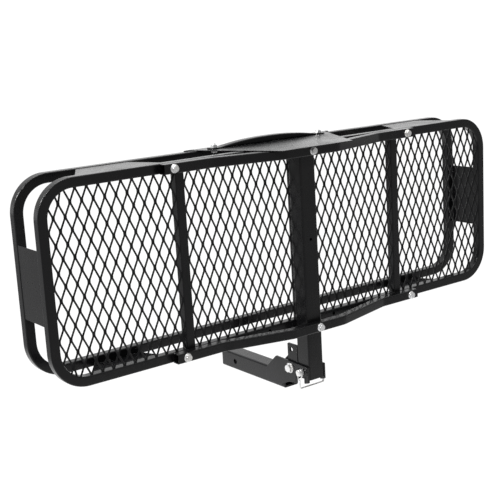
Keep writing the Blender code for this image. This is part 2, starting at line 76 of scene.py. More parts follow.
class Sock:
    def __init__(self, kit, out):
        self.kit, self.out = kit, out

    def calc(self, operation, other=None, swap=False):
        node = self.kit.tree.nodes.new("ShaderNodeMath")
        node.operation = operation
        pair = [self, other] if not swap else [other, self]
        for socket, value in zip(node.inputs, pair):
            if isinstance(value, Sock):
                self.kit.tree.links.new(value.out, socket)
            elif value is not None:
                socket.default_value = value
        return Sock(self.kit, node.outputs[0])

    def __add__(self, other): return self.calc("ADD", other)
    def __radd__(self, other): return self.calc("ADD", other)
    def __sub__(self, other): return self.calc("SUBTRACT", other)
    def __rsub__(self, other): return self.calc("SUBTRACT", other, True)
    def __mul__(self, other): return self.calc("MULTIPLY", other)
    def __rmul__(self, other): return self.calc("MULTIPLY", other)
    def __truediv__(self, other): return self.calc("DIVIDE", other)
    def __rtruediv__(self, other): return self.calc("DIVIDE", other, True)
    def atLeast(self, other): return self.calc("MAXIMUM", other)


class Kit:
    def __init__(self, name, **surface):
        self.mat = bpy.data.materials.new(name)
        self.mat.use_nodes = True
        self.tree = self.mat.node_tree
        self.shader = self.tree.nodes["Principled BSDF"]
        self.place = self.node("ShaderNodeTexCoord", output="Object")
        for key, value in surface.items():
            self.put(key, value)

    def put(self, key, value):
        socket = self.shader.inputs[key.replace("_", " ")]
        if isinstance(value, Sock):
            self.tree.links.new(value.out, socket)
        else:
            socket.default_value = value

    def node(self, kind, settings=None, output=0, **sockets):
        made = self.tree.nodes.new(kind)
        for key, value in (settings or {}).items():
            setattr(made, key, value)
        for key, value in sockets.items():
            place = int(key[1:]) if key[0] == "i" and key[1:].isdigit() else key.replace("_", " ")
            socket = made.inputs[place]
            if isinstance(value, Sock):
                self.tree.links.new(value.out, socket)
            else:
                socket.default_value = value
        return Sock(self, made.outputs[output])

    def noise(self, scale, detail=3.0, rough=0.5, place=None):
        return self.node("ShaderNodeTexNoise", Vector=place or self.place, Scale=scale,
                         Detail=detail, Roughness=rough)

    def ramp(self, value, low, high, start=0.0, end=1.0):
        return self.node("ShaderNodeMapRange", {"clamp": True}, Value=value,
                         From_Min=low, From_Max=high, To_Min=start, To_Max=end)

    def mix(self, amount, first, second):
        return self.node("ShaderNodeMix", {"data_type": "RGBA"}, output=2,
                         i0=amount, i6=first, i7=second)

    def bump(self, height, strength, distance=0.001, below=None):
        extra = {"Normal": below} if below else {}
        return self.node("ShaderNodeBump", Height=height, Strength=strength,
                         Distance=distance, **extra)


def powderCoat(name, shade=(0.0045, 0.0045, 0.0051, 1), gloss=0.24, peel=0.13, dusty=0.5, sheen=0.34):
    kit = Kit(name, Specular_IOR_Level=sheen)
    clouds = kit.noise(7.0, 4.0, 0.6)
    fine = kit.noise(140.0, 3.0, 0.6)
    orange = kit.noise(620.0, 2.0, 0.5)
    grit = kit.noise(1900.0, 1.0, 0.5)
    dust = kit.ramp(clouds * 0.6 + fine * 0.4, 0.50, 0.72) * dusty
    specks = kit.node("ShaderNodeTexVoronoi", {"feature": "F1"}, Vector=kit.place, Scale=260.0)
    speck = kit.ramp(specks, 0.07, 0.03) * kit.ramp(clouds, 0.45, 0.65)
    base = kit.mix(dust * 0.35, shade, (0.024, 0.0235, 0.0225, 1))
    kit.put("Base_Color", kit.mix(speck * 0.5, base, (0.07, 0.07, 0.067, 1)))
    kit.put("Roughness", kit.ramp(clouds, 0.3, 0.75, gloss - 0.04, gloss + 0.08)
            + dust * 0.14 + kit.ramp(fine, 0.35, 0.7, -0.02, 0.03))
    kit.put("IOR", 1.52)
    kit.put("Coat_Weight", 0.07)
    kit.put("Coat_Roughness", 0.18)
    kit.put("Normal", kit.bump(orange * 0.75 + grit * 0.25, peel, 0.00035))
    return kit.mat


def zincPlate(name, tint=(0.95, 0.955, 0.97, 1), gloss=0.22):
    kit = Kit(name, Metallic=0.55)
    patches = kit.noise(90.0, 3.0, 0.6)
    grain = kit.noise(900.0, 2.0, 0.5)
    warm = kit.ramp(kit.noise(35.0, 2.0), 0.35, 0.7)
    bright = kit.mix(warm * 0.45, tint, (0.78, 0.745, 0.66, 1))
    kit.put("Base_Color", kit.mix(kit.ramp(patches, 0.58, 0.8) * 0.5, bright, (0.40, 0.41, 0.42, 1)))
    kit.put("Roughness", kit.ramp(patches, 0.3, 0.8, gloss - 0.05, gloss + 0.16))
    kit.put("Normal", kit.bump(grain, 0.12, 0.0002))
    return kit.mat


def glowFloor(name):
    # painted light: emission paints a pool of light on the dark floor, brightest under and beyond the
    # carrier, softer to the sides
    kit = Kit(name, Roughness=0.8, Specular_IOR_Level=0.0, Emission_Strength=1.0)
    kit.put("Base_Color", (0.02, 0.02, 0.02, 1))
    along = kit.node("ShaderNodeVectorMath", {"operation": "DOT_PRODUCT"}, output=1, i0=kit.place,
                     i1=stageLook["ahead"])
    across = kit.node("ShaderNodeVectorMath", {"operation": "DOT_PRODUCT"}, output=1, i0=kit.place,
                      i1=stageLook["across"])
    spread = across.calc("ABSOLUTE") / (along + stageLook["apart"]).atLeast(0.3)
    # painted light pool: this mask blends the floor's glow from the dim emission to the bright emission
    lit = kit.ramp(along, stageLook["dimAt"], stageLook["litAt"]) * kit.ramp(spread, 0.62, 0.30)
    kit.put("Emission_Color", kit.mix(lit, (stageLook["dim"],) * 3 + (1,), (1.04, 1.04, 1.04, 1)))
    return kit.mat


coat = powderCoat("satin black powder coat")
coatHeavy = powderCoat("black powder coat on mesh", gloss=0.42, peel=0.4, dusty=0.2, sheen=0.25)
coatWeld = powderCoat("black powder coat over weld", gloss=0.33, peel=0.6, dusty=0.6)
coatShank = powderCoat("black powder coat on shank", shade=(0.008, 0.008, 0.009, 1), gloss=0.24,
                       peel=0.3, dusty=0.4)
zincBolt = zincPlate("bright zinc bolts")
zincPin = zincPlate("zinc lock pin", tint=(0.94, 0.945, 0.96, 1), gloss=0.20)
print("materials ready")


def finishObject(name, mesh, material, body, stands=(), angle=35):
    mesh.materials.clear()
    mesh.materials.append(material)
    mesh.polygons.foreach_set("use_smooth", [True] * len(mesh.polygons))
    mesh.set_sharp_from_angle(angle=math.radians(angle))
    item = bpy.data.objects.new(name.replace(" ", "_").replace("-", "_"), mesh)
    bpy.context.scene.collection.objects.link(item)
    even = item.modifiers.new("even normals", "WEIGHTED_NORMAL")
    even.keep_sharp = True
    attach(item, body)
    if stands:
        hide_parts(*stands)
    return item


def plainMesh(name, verts, faces):
    mesh = bpy.data.meshes.new(name)
    mesh.from_pydata([tuple(v) for v in verts], [], faces)
    mesh.update()
    return mesh


def roundedSection(side, bend, steps):
    points, reach = [], side / 2 - bend
    for quarter in range(4):
        cu = reach * (1 if quarter in (0, 3) else -1)
        cv = reach * (1 if quarter in (0, 1) else -1)
        for step in range(steps + 1):
            a = math.pi / 2 * (quarter + step / steps)
            points.append((cu + bend * math.cos(a), cv + bend * math.sin(a)))
    return points


def roundPath(points, radius, steps):
    path = [points[0].copy()]
    for before, here, after in zip(points, points[1:], points[2:]):
        a, b = (before - here).normalized(), (after - here).normalized()
        half = a.angle(b) / 2
        if half > 1.55:
            path.append(here.copy())
            continue
        cut = min(radius / math.tan(half), (before - here).length * 0.49, (after - here).length * 0.49)
        bend = cut * math.tan(half)
        centre = here + (a + b).normalized() * (bend / math.sin(half))
        start, end = here + a * cut - centre, here + b * cut - centre
        sweep = start.angle(end)
        for step in range(steps + 1):
            t = step / steps
            path.append(centre + start * (math.sin((1 - t) * sweep) / math.sin(sweep))
                        + end * (math.sin(t * sweep) / math.sin(sweep)))
    path.append(points[-1].copy())
    return path


def ringsAlong(path, normal, section):
    rings, last = [], len(path) - 1
    for i, point in enumerate(path):
        back = (path[i] - path[i - 1]).normalized() if i else None
        ahead = (path[i + 1] - path[i]).normalized() if i < last else None
        tangent = ((back or ahead) + (ahead or back)).normalized()
        side = normal.cross(tangent).normalized()
        stretch = 1 / tangent.dot(ahead or back)
        rings.append([point + side * (u * stretch) + normal * v for u, v in section])
    return rings


def joinRings(verts, faces, rings):
    first, count = len(verts), len(rings[0])
    for ring in rings:
        verts.extend(ring)
    for r in range(len(rings) - 1):
        for k in range(count):
            a, b = first + r * count + k, first + r * count + (k + 1) % count
            faces.append((a, b, b + count, a + count))
    return first, count


def squareTube(name, path, normal, size, look, body, stands, material=coat):
    corner, wall, steps = look["corner"], look["wall"], tubeLook["cornerSteps"]
    outer = ringsAlong(path, normal, roundedSection(size, corner, steps))
    inner = ringsAlong(path, normal, roundedSection(size - 2 * wall, max(corner - wall, 0.0006), steps))
    verts, faces = [], []
    a, count = joinRings(verts, faces, outer)
    b, count = joinRings(verts, faces, inner)
    for end in (0, len(path) - 1):
        for k in range(count):
            n = (k + 1) % count
            faces.append((a + end * count + k, a + end * count + n,
                          b + end * count + n, b + end * count + k))
    mesh = plainMesh(name, verts, faces)
    fixNormals(mesh)
    return finishObject(name, mesh, material, body, stands)


def fixNormals(mesh):
    bm = bmesh.new()
    bm.from_mesh(mesh)
    bmesh.ops.remove_doubles(bm, verts=bm.verts, dist=1e-7)
    bmesh.ops.recalc_face_normals(bm, faces=bm.faces)
    bm.to_mesh(mesh)
    bm.free()


def turnedMesh(name, start, axis, levels, count=48):
    axis = axis.normalized()
    side = axis.orthogonal().normalized()
    up = axis.cross(side)
    rings = []
    for distance, radius, hexagon in levels:
        ring = []
        for k in range(count):
            a = math.tau * k / count
            reach = radius
            if hexagon:
                flat = hexagon * math.cos(math.pi / 6) / math.cos((a % (math.pi / 3)) - math.pi / 6)
                reach = min(flat, radius)
            ring.append(start + axis * distance + side * (reach * math.cos(a)) + up * (reach * math.sin(a)))
        rings.append(ring)
    verts, faces = [], []
    first, count = joinRings(verts, faces, rings)
    faces.append(tuple(range(count))[::-1])
    faces.append(tuple(range(len(verts) - count, len(verts))))
    mesh = plainMesh(name, verts, faces)
    fixNormals(mesh)
    return mesh


def threadMesh(name, start, axis, length, radius, pitch, count=20):
    axis = axis.normalized()
    side = axis.orthogonal().normalized()
    up = axis.cross(side)
    rows = max(4, int(length / pitch * 4))
    rings = []
    for row in range(rows + 1):
        d = length * row / rows
        taper = min(1.0, (length - d) / (pitch * 1.2)) if length > d else 0.0
        ring = []
        for k in range(count):
            a = math.tau * k / count
            phase = (d / pitch - k / count) % 1.0
            cut = 1.0 - abs(2 * phase - 1)
            reach = radius - 0.00055 * cut - 0.0007 * (1 - taper)
            ring.append(start + axis * d + side * (reach * math.cos(a)) + up * (reach * math.sin(a)))
        rings.append(ring)
    verts, faces = [], []
    joinRings(verts, faces, rings)
    faces.append(tuple(range(count))[::-1])
    faces.append(tuple(range(len(verts) - count, len(verts))))
    return plainMesh(name, verts, faces)


def mergeMeshes(name, meshes):
    bm = bmesh.new()
    for mesh in meshes:
        bm.from_mesh(mesh)
    merged = bpy.data.meshes.new(name)
    bm.to_mesh(merged)
    bm.free()
    return merged


def cutPlate(name, outline, holes, thickness, origin, axes, body, stands, material=coat,
             rounding=None, bevel=None):
    curve = bpy.data.curves.new(name, "CURVE")
    curve.dimensions = "2D"
    curve.fill_mode = "BOTH"
    bevel = plateLook["bevel"] if bevel is None else bevel
    curve.extrude = thickness / 2 - bevel
    curve.bevel_depth = bevel
    curve.bevel_resolution = 2
    curve.offset = -bevel
    rounding = plateLook["round"] if rounding is None else rounding
    closed = [Vector((a, b, 0)) for a, b in outline]
    halfway = (closed[-1] + closed[0]) / 2
    path = roundPath([halfway] + closed + [halfway], rounding, 5)[:-1] if rounding else closed
    loops = [path] + [[Vector((a + r * math.cos(math.tau * k / 40), b + r * math.sin(math.tau * k / 40), 0))
                       for k in range(40)] for a, b, r in holes]
    for loop in loops:
        line = curve.splines.new("POLY")
        line.points.add(len(loop) - 1)
        for point, p in zip(line.points, loop):
            point.co = (p.x, p.y, 0, 1)
        line.use_cyclic_u = True
    shape = bpy.data.objects.new(name, curve)
    bpy.context.scene.collection.objects.link(shape)
    mesh = bpy.data.meshes.new_from_object(shape.evaluated_get(bpy.context.evaluated_depsgraph_get()))
    bpy.data.objects.remove(shape)
    across, up, out = axes
    turn = Matrix((across, up, out)).transposed().to_4x4()
    mesh.transform(Matrix.Translation(origin) @ turn)
    fixNormals(mesh)
    return finishObject(name, mesh, material, body, stands)


def wire(name, points, radius, body, stands=(), bend=0.005, material=zincPin, cyclic=False):
    curve = bpy.data.curves.new(name, "CURVE")
    curve.dimensions = "3D"
    curve.bevel_depth = radius
    curve.bevel_resolution = 5
    curve.use_fill_caps = True
    path = roundPath(points, bend, 8) if bend else points
    line = curve.splines.new("POLY")
    line.points.add(len(path) - 1)
    for point, p in zip(line.points, path):
        point.co = (*p, 1)
    line.use_cyclic_u = cyclic
    shape = bpy.data.objects.new(name, curve)
    bpy.context.scene.collection.objects.link(shape)
    mesh = bpy.data.meshes.new_from_object(shape.evaluated_get(bpy.context.evaluated_depsgraph_get()))
    bpy.data.objects.remove(shape)
    return finishObject(name, mesh, material, body, stands, 50)


def drill(item, cuts):
    for start, axis, length, radius in cuts:
        mesh = turnedMesh("tool", start, axis, [(0, radius, None), (length, radius, None)], 40)
        tool = bpy.data.objects.new("tool", mesh)
        bpy.context.scene.collection.objects.link(tool)
        change = item.modifiers.new("hole", "BOOLEAN")
        change.operation, change.solver, change.object = "DIFFERENCE", "EXACT", tool
        item.modifiers.move(len(item.modifiers) - 1, 0)
        mesh = bpy.data.meshes.new_from_object(item.evaluated_get(bpy.context.evaluated_depsgraph_get()))
        item.modifiers.remove(change)
        item.data = mesh
        bpy.data.objects.remove(tool)


class Welds:
    def __init__(self, name, body):
        self.name, self.body, self.verts, self.faces = name, body, [], []

    def bead(self, start, end, scale=1.0):
        length = (end - start).length
        rows = max(6, int(length / weldLook["pitch"] * 5))
        axis = (end - start).normalized()
        side = axis.orthogonal().normalized()
        up = axis.cross(side)
        rings = []
        for row in range(rows + 1):
            t = row / rows
            wave = math.sin(math.tau * t * length / weldLook["pitch"])
            taper = min(1.0, 5 * t + 0.15, 5 * (1 - t) + 0.15) ** 0.5
            size = weldLook["radius"] * scale * taper * (1 + weldLook["ripple"] * wave)
            wander = 0.0002 * math.sin(37 * t + length * 900)
            centre = start.lerp(end, t) + side * wander
            rings.append([centre + side * (size * math.cos(math.tau * k / 10))
                          + up * (size * math.sin(math.tau * k / 10)) for k in range(10)])
        first = len(self.verts)
        joinRings(self.verts, self.faces, rings)
        self.faces.append(tuple(range(first, first + 10))[::-1])
        self.faces.append(tuple(range(len(self.verts) - 10, len(self.verts))))

    def done(self):
        mesh = plainMesh(self.name, self.verts, self.faces)
        return finishObject(self.name, mesh, coatWeld, self.body, angle=70)


floorLow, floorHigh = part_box("floor_rail_left")
farX, railEndX = -floorLow.x, -floorHigh.x
floorY, railSize = floorLow.y, floorHigh.y - floorLow.y
lowZ, highZ = floorLow.z, floorHigh.z
midZ = (lowZ + highZ) / 2
railZ = (highZ - lowZ) / 2 - railSize / 2
rimLow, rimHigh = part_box("rim_rail_left")
rimY, rimEndX = (rimLow.y + rimHigh.y) / 2, -rimHigh.x


def halfLoop(sign, y, endX):
    far = farX - railSize / 2
    corners = [Vector((sign * endX, y, midZ + railZ)), Vector((sign * far, y, midZ + railZ)),
               Vector((sign * far, y, midZ - railZ)), Vector((sign * endX, y, midZ - railZ))]
    return roundPath(corners, railLook["bend"] - railSize / 2, tubeLook["bendSteps"])


for side, sign in sides:
    rail = squareTube("floorRail " + side, halfLoop(sign, floorY + railSize / 2, railEndX), axisY, railSize,
                      tubeLook, "basket", ["floor_rail_" + side])
    drill(rail, [(Vector((sign * railLook["holeX"], floorY - 0.006, midZ + up * railZ)), axisY, 0.014,
                  railLook["holeR"]) for edge, up in edges])
    squareTube("rimRail " + side, halfLoop(sign, rimY, rimEndX), axisY, railSize, tubeLook,
               "basket", ["rim_rail_" + side])

for name in ("crossbar_left", "crossbar_right", "crossbar_centre"):
    low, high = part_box(name)
    mid = (low + high) / 2
    squareTube(name.replace("_", " "), [Vector((mid.x, mid.y, low.z)), Vector((mid.x, mid.y, high.z))],
               axisY, railSize, tubeLook, "basket", [name])


def floorArchLine(edge):
    low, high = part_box("floor_arch_" + edge)
    z = (low.z + high.z) / 2
    near, far = high.y - railSize / 2, low.y + railSize / 2
    end, kink, flat = high.x, archLook["kink"], archLook["flat"]
    return [Vector((-end, near, z)), Vector((-kink, near, z)), Vector((-flat, far, z)),
            Vector((flat, far, z)), Vector((kink, near, z)), Vector((end, near, z))]


for edge, up in edges:
    squareTube("floorArch " + edge, roundPath(floorArchLine(edge), archLook["bend"], 8), axisZ,
               railSize, tubeLook, "basket", ["floor_arch_" + edge])
print("tubes ready")


def expandedPanel(node, roundedSide):
    low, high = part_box(node)
    xLow, xHigh = low.x - 0.0006, high.x + 0.0006
    zLow, zHigh = low.z - 0.0012, high.z + 0.0012
    count = round((xHigh - xLow) / meshLook["across"])
    step = (xHigh - xLow) / count
    period = (zHigh - zLow) / round((zHigh - zLow) / meshLook["along"])
    tilt = math.radians(meshLook["tilt"])
    flat = meshLook["bond"] / period
    swing = step / 2 - meshLook["wide"] * math.cos(tilt) * 0.42
    radius = railLook["bend"] - railSize
    section = []
    for u, v in roundedSection(1.0, 0.2, 1):
        a, b = u * meshLook["wide"], v * meshLook["thick"]
        section.append((a * math.cos(tilt) - b * math.sin(tilt), a * math.sin(tilt) + b * math.cos(tilt)))
    y = floorY + meshLook["depth"]
    verts, faces = [], []
    for i in range(count):
        centre = xLow + (i + 0.5) * step
        zTop, zBottom = zHigh, zLow
        if roundedSide:
            inner = (xHigh if roundedSide > 0 else xLow) - roundedSide * radius
            beyond = (centre - inner) * roundedSide
            if beyond > 0:
                drop = radius - math.sqrt(max(radius ** 2 - min(beyond, radius * 0.995) ** 2, 0)) - 0.003
                zTop, zBottom = zHigh - drop, zLow + drop
        way = 1 if i % 2 else -1
        path = []
        halves = int(round((zHigh - zLow) / period * 2))
        for h in range(halves + 1):
            z, turn = zLow + h * period / 2, way * (1 if h % 2 else -1)
            for dz in (-flat * period / 2, 0.0, flat * period / 2):
                path.append((centre + turn * swing, z + dz))
        path = [p for p in path if zBottom - 1e-6 <= p[1] <= zTop + 1e-6]
        if len(path) < 3:
            continue
        for end, limit in ((0, zBottom), (-1, zTop)):
            if abs(path[end][1] - limit) > 0.001:
                x, z = path[end]
                towards = x + (centre - x) * min(abs(z - limit) / (period / 4), 1)
                path.insert(0 if end == 0 else len(path), (towards, limit))
        points = roundPath([Vector((x, y, z)) for x, z in path], 0.006, 2)
        first, n = joinRings(verts, faces, ringsAlong(points, axisY, section))
        faces.append(tuple(range(first, first + n))[::-1])
        faces.append(tuple(range(len(verts) - n, len(verts))))
    mesh = plainMesh(node, verts, faces)
    fixNormals(mesh)
    return finishObject(node.replace("_", " "), mesh, coatHeavy, "basket", [node])


for node, roundedSide in (("mesh_outer_left", -1), ("mesh_inner_left", 0),
                          ("mesh_inner_right", 0), ("mesh_outer_right", 1)):
    expandedPanel(node, roundedSide)
print("mesh ready")


def middle(node):
    low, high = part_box(node)
    return (low + high) / 2, low, high


for side, sign in sides:
    low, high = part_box("end_plate_" + side)
    cutPlate("endPlate " + side, [(low.y, low.z), (high.y, low.z), (high.y, high.z), (low.y, high.z)], [],
             high.x - low.x, Vector(((low.x + high.x) / 2, 0, 0)), (axisY, axisZ, axisX), "basket",
             ["end_plate_" + side], rounding=0.0012)
    for edge, up in edges:
        node = "side_plate_" + edge + "_" + side
        low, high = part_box(node)
        near, far = (low.x, high.x) if sign > 0 else (high.x, low.x)
        slant = 0.05588 * sign
        cutPlate("sidePlate " + edge + " " + side,
                 [(near, low.y), (far, low.y), (far - slant, high.y), (near + slant * 0.8, high.y)], [],
                 high.z - low.z, Vector((0, 0, (low.z + high.z) / 2)), (axisX, axisY, axisZ), "basket",
                 [node], rounding=0.0012)

tubeLow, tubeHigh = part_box("main_tube")
low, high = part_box("centre_plate")
wide, narrow = high.x, plateLook["narrow"]
edge = [(wide, high.y), (narrow, low.y)]
barBolts = [middle("bar_bolt_" + side)[0] for side, sign in sides]
cutPlate("centrePlate", [(-x, y) for x, y in edge] + edge[::-1], [(p.x, p.y, 0.0053) for p in barBolts],
         high.z - low.z, Vector((0, 0, (low.z + high.z) / 2)), (axisX, axisY, axisZ), "basket",
         ["centre_plate"], rounding=0.0015)


def centreBar():
    low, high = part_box("centre_bar")
    depth, rise, mid = high.y - low.y, high.z - low.z, (low.y + high.y) / 2
    foot, thin, steps = barLook["foot"], barLook["footThick"], barLook["steps"]
    stations = [-high.x, -high.x + 0.002] + [foot * (2 * k / steps - 1) for k in range(steps + 1)]
    stations += [high.x - 0.002, high.x]
    rings = []
    for x in stations:
        share = min(abs(x) / foot, 1.0)
        tall = thin + (rise - thin) * (1 - share ** barLook["ease"])
        bend = min(barLook["corner"], tall * 0.46)
        wide = depth - (0.004 if abs(x) > high.x - 0.001 else 0.0)
        ring = []
        for quarter in range(4):
            cu = (wide / 2 - bend) * (1 if quarter in (0, 3) else -1)
            cv = (tall / 2 - bend) * (1 if quarter in (0, 1) else -1)
            for step in range(6):
                a = math.pi / 2 * (quarter + step / 5)
                across, over = cu + bend * math.cos(a), cv + bend * math.sin(a)
                ring.append(Vector((x, mid + across, low.z + tall / 2 + over)))
        rings.append(ring)
    verts, faces = [], []
    joinRings(verts, faces, rings)
    faces.append(tuple(range(len(rings[0])))[::-1])
    faces.append(tuple(range(len(verts) - len(rings[0]), len(verts))))
    mesh = plainMesh("centreBar", verts, faces)
    fixNormals(mesh)
    bar = finishObject("centreBar", mesh, coat, "basket", ["centre_bar"])
    drill(bar, [(Vector((p.x, p.y, low.z - 0.01)), axisZ, 0.03, 0.0053) for p in barBolts])


centreBar()
print("plates ready")


mid = (tubeLow + tubeHigh) / 2
mainTube = squareTube("mainTube", [Vector((0, mid.y, tubeLow.z)), Vector((0, mid.y, tubeHigh.z))], axisY,
                      mainLook["size"], mainLook, "basket", ["main_tube"])
drill(mainTube, [(Vector((0, tubeLow.y - 0.01, midZ)), axisY, 0.03, mainLook["vent"]),
                 (lockAxis - axisX * 0.04, axisX, 0.08, 0.0067)])
shankLow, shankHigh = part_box("shank_tube")
shank = squareTube("shank", [Vector((0, shankLow.y, 0)), Vector((0, shankHigh.y, 0))], axisZ,
                   shankLook["size"], shankLook, "shank", ["shank_tube"], coatShank)
drill(shank, [(Vector((-0.04, 0, 0)), axisX, 0.08, shankLook["pinHole"])])

clevisLow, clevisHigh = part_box("clevis_plate_right")
plateThick = clevisHigh.x - clevisLow.x
plateX = (clevisHigh.x + clevisLow.x) / 2


def clevisShape():
    rear, bottom = clevisLow.y - pivot.y, clevisLow.z - pivot.z
    front = clevisHigh.y - pivot.y
    slot = -0.05915
    arch = [(slot, 0.0)]
    for step in range(1, 7):
        a = math.pi - math.pi / 2 * step / 6
        arch.append((-lockArm + 0.00715 * math.cos(a), 0.00755 * math.sin(a)))
    ramp = [(front, -0.022), (0.064, 0.021), (rear, 0.017), (rear, -0.028), (slot, -0.033)]
    hook = [(-0.038, 0.0075), (-0.028, 0.0025), (-0.0255, -0.006)]
    under = [(-0.020, -0.0397), (0.010, -0.0433), (0.034, -0.0545), (0.045, bottom), (front, bottom)]
    return ramp + arch + hook + under


for side, sign in sides:
    cutPlate("clevis " + side, clevisShape(), [(0, 0, 0.0083)], plateThick,
             pivot + axisX * (sign * plateX), (axisY, axisZ, axisX), "shank", ["clevis_plate_" + side],
             coatShank, rounding=0.0022, bevel=0.0007)

earLow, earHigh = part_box("hinge_channel")
earFront, earBack = earHigh.y - pivot.y, earLow.y - pivot.y
earTop, earBottom = earHigh.z - pivot.z, earLow.z - pivot.z
earThick = 0.006
for side, sign in sides:
    ear = [(earBack, earTop), (earBack, earBottom), (earFront - 0.010, earBottom),
           (earFront, earBottom + 0.010), (earFront, earTop)]
    cutPlate("hingeEar " + side, ear, [(0, 0, 0.00815), (0, lockArm, 0.0066)], earThick,
             pivot + axisX * (sign * (earHigh.x - earThick / 2)), (axisY, axisZ, axisX), "basket",
             ["hinge_channel"] if sign < 0 else [], rounding=0.003, bevel=0.0006)
web = [(-earHigh.x + 0.002, earBottom), (earHigh.x - 0.002, earBottom),
       (earHigh.x - 0.002, earTop), (-earHigh.x + 0.002, earTop)]
cutPlate("hingeWeb", web, [], 0.004, pivot + axisY * (earBack + 0.002), (axisX, axisZ, axisY * -1), "basket",
         [], rounding=0.001)
print("hinge ready")


def boltMesh(name, face, axis, grip, scale=1.0, plainEnd=False):
    shaft, hexR = boltLook["shaft"] * scale, boltLook["hex"] * scale
    head, flange = boltLook["head"] * scale, boltLook["flange"] * scale
    body = turnedMesh(name, face, axis, [
        (-head - 0.0022, hexR * 0.30, None), (-head - 0.0021, hexR * 0.72, None),
        (-head - 0.0020, hexR * 0.86, hexR), (-head - 0.0008, hexR * 0.97, hexR),
        (-head * 0.7, hexR * 1.2, hexR), (-0.0024, hexR * 1.2, hexR),
        (-0.0023, flange * 0.90, None), (-0.0012, flange * 0.985, None), (-0.0006, flange, None),
        (0.0, flange, None), (0.0002, shaft, None), (grip, shaft, None)])
    if plainEnd:
        return body
    thread = threadMesh(name, face + axis * grip, axis, boltLook["nut"] * scale + 0.0035, shaft * 0.99,
                        boltLook["pitch"])
    return mergeMeshes(name, [body, thread])


def nutMesh(name, face, axis, scale=1.0):
    hexR, nut = boltLook["hex"] * scale, boltLook["nut"] * scale
    hole = boltLook["shaft"] * scale + 0.0001
    return turnedMesh(name, face, axis, [
        (0.0010, hole, None), (0.0002, hole * 1.15, None), (0.0002, hexR * 0.90, hexR),
        (0.0010, hexR * 0.98, hexR), (0.0016, hexR * 1.2, hexR), (nut * 0.80, hexR * 1.2, hexR),
        (nut * 0.93, hexR * 0.96, hexR), (nut, hexR * 0.86, hexR), (nut, hole * 1.2, None),
        (nut - 0.001, hole, None)])


for edge, up in edges:
    for side, sign in sides:
        tag = edge + "_" + side
        mid, low, high = middle("floor_bolt_" + tag)
        face = Vector((mid.x, floorY - railSize - 0.0003, mid.z))
        finishObject("floorBolt " + tag, boltMesh("bolt", face, axisY, 2 * railSize + 0.0004), zincBolt,
                     "basket", ["floor_bolt_" + tag])
        mid, low, high = middle("floor_nut_" + tag)
        finishObject("floorNut " + tag, nutMesh("nut", Vector((mid.x, floorY + railSize, mid.z)), axisY),
                     zincBolt, "basket", ["floor_nut_" + tag])
    mid, low, high = middle("tube_bolt_" + edge)
    archLow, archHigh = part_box("floor_arch_" + edge)
    finishObject("tubeBolt " + edge, boltMesh("bolt", Vector((0, archLow.y, mid.z)), axisY,
                                              high.y - archLow.y, plainEnd=True), zincBolt, "basket",
                 ["tube_bolt_" + edge])

plateLow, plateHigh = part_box("centre_plate")
barLow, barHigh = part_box("centre_bar")
for side, sign in sides:
    mid, low, high = middle("bar_bolt_" + side)
    under, footTop = plateLow.z, barLow.z + barLook["footThick"]
    finishObject("barBolt " + side, boltMesh("bolt", Vector((mid.x, mid.y, under)), axisZ, footTop - under),
                 zincBolt, "basket", ["bar_bolt_" + side])
    finishObject("barNut " + side, nutMesh("nut", Vector((mid.x, mid.y, footTop)), axisZ), zincBolt,
                 "basket", ["bar_nut_" + side])

outside = clevisHigh.x
finishObject("pivotBolt", mergeMeshes("pivotBolt", [
    turnedMesh("b", pivot - axisX * outside, axisX, [
        (-0.0108, 0.0040, None), (-0.0107, 0.0090, None), (-0.0105, 0.0104, 0.0121),
        (-0.0092, 0.0116, 0.0121), (-0.0075, 0.02, 0.0121), (-0.0030, 0.02, 0.0121),
        (-0.0029, 0.0134, None), (-0.0020, 0.0143, None), (-0.0003, 0.0145, None),
        (-0.0002, 0.0080, None), (2 * outside + 0.002, 0.0080, None)]),
    threadMesh("t", pivot + axisX * (outside + 0.002), axisX, 0.012, 0.0079, 0.0020, 28)]),
    zincBolt, "shank", ["pivot_bolt"])
finishObject("pivotNut", nutMesh("nut", pivot + axisX * outside, axisX, 1.3), zincBolt, "shank",
             ["pivot_nut"])

pinLow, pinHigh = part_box("lock_pin")
length = pinHigh.x - pinLow.x
pinR = 0.00635
finishObject("lockPin", turnedMesh("lockPin", Vector((pinLow.x, lockAxis.y, lockAxis.z)), axisX, [
    (0.0, pinR, None), (length - 0.0042, pinR, None), (length - 0.0030, pinR * 0.95, None),
    (length - 0.0012, pinR * 0.78, None), (length - 0.0003, pinR * 0.60, None),
    (length, pinR * 0.45, None)]), zincPin, "lock_pin", ["lock_pin"])
headLow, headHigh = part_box("pin_head")
headLength = headHigh.x - headLow.x
headR = pinR * 1.5
finishObject("pinHead", turnedMesh("pinHead", Vector((headHigh.x, lockAxis.y, lockAxis.z)), axisX * -1, [
    (0.0, headR * 0.93, None), (0.0007, headR, None), (headLength * 0.42, headR, None),
    (headLength * 0.46, headR * 0.90, None), (headLength * 0.54, headR * 0.90, None),
    (headLength * 0.58, headR, None), (headLength - 0.0030, headR, None),
    (headLength - 0.0014, headR * 0.95, None), (headLength - 0.0004, headR * 0.82, None),
    (headLength, headR * 0.6, None)]), zincPin, "pin_head", ["pin_head"])

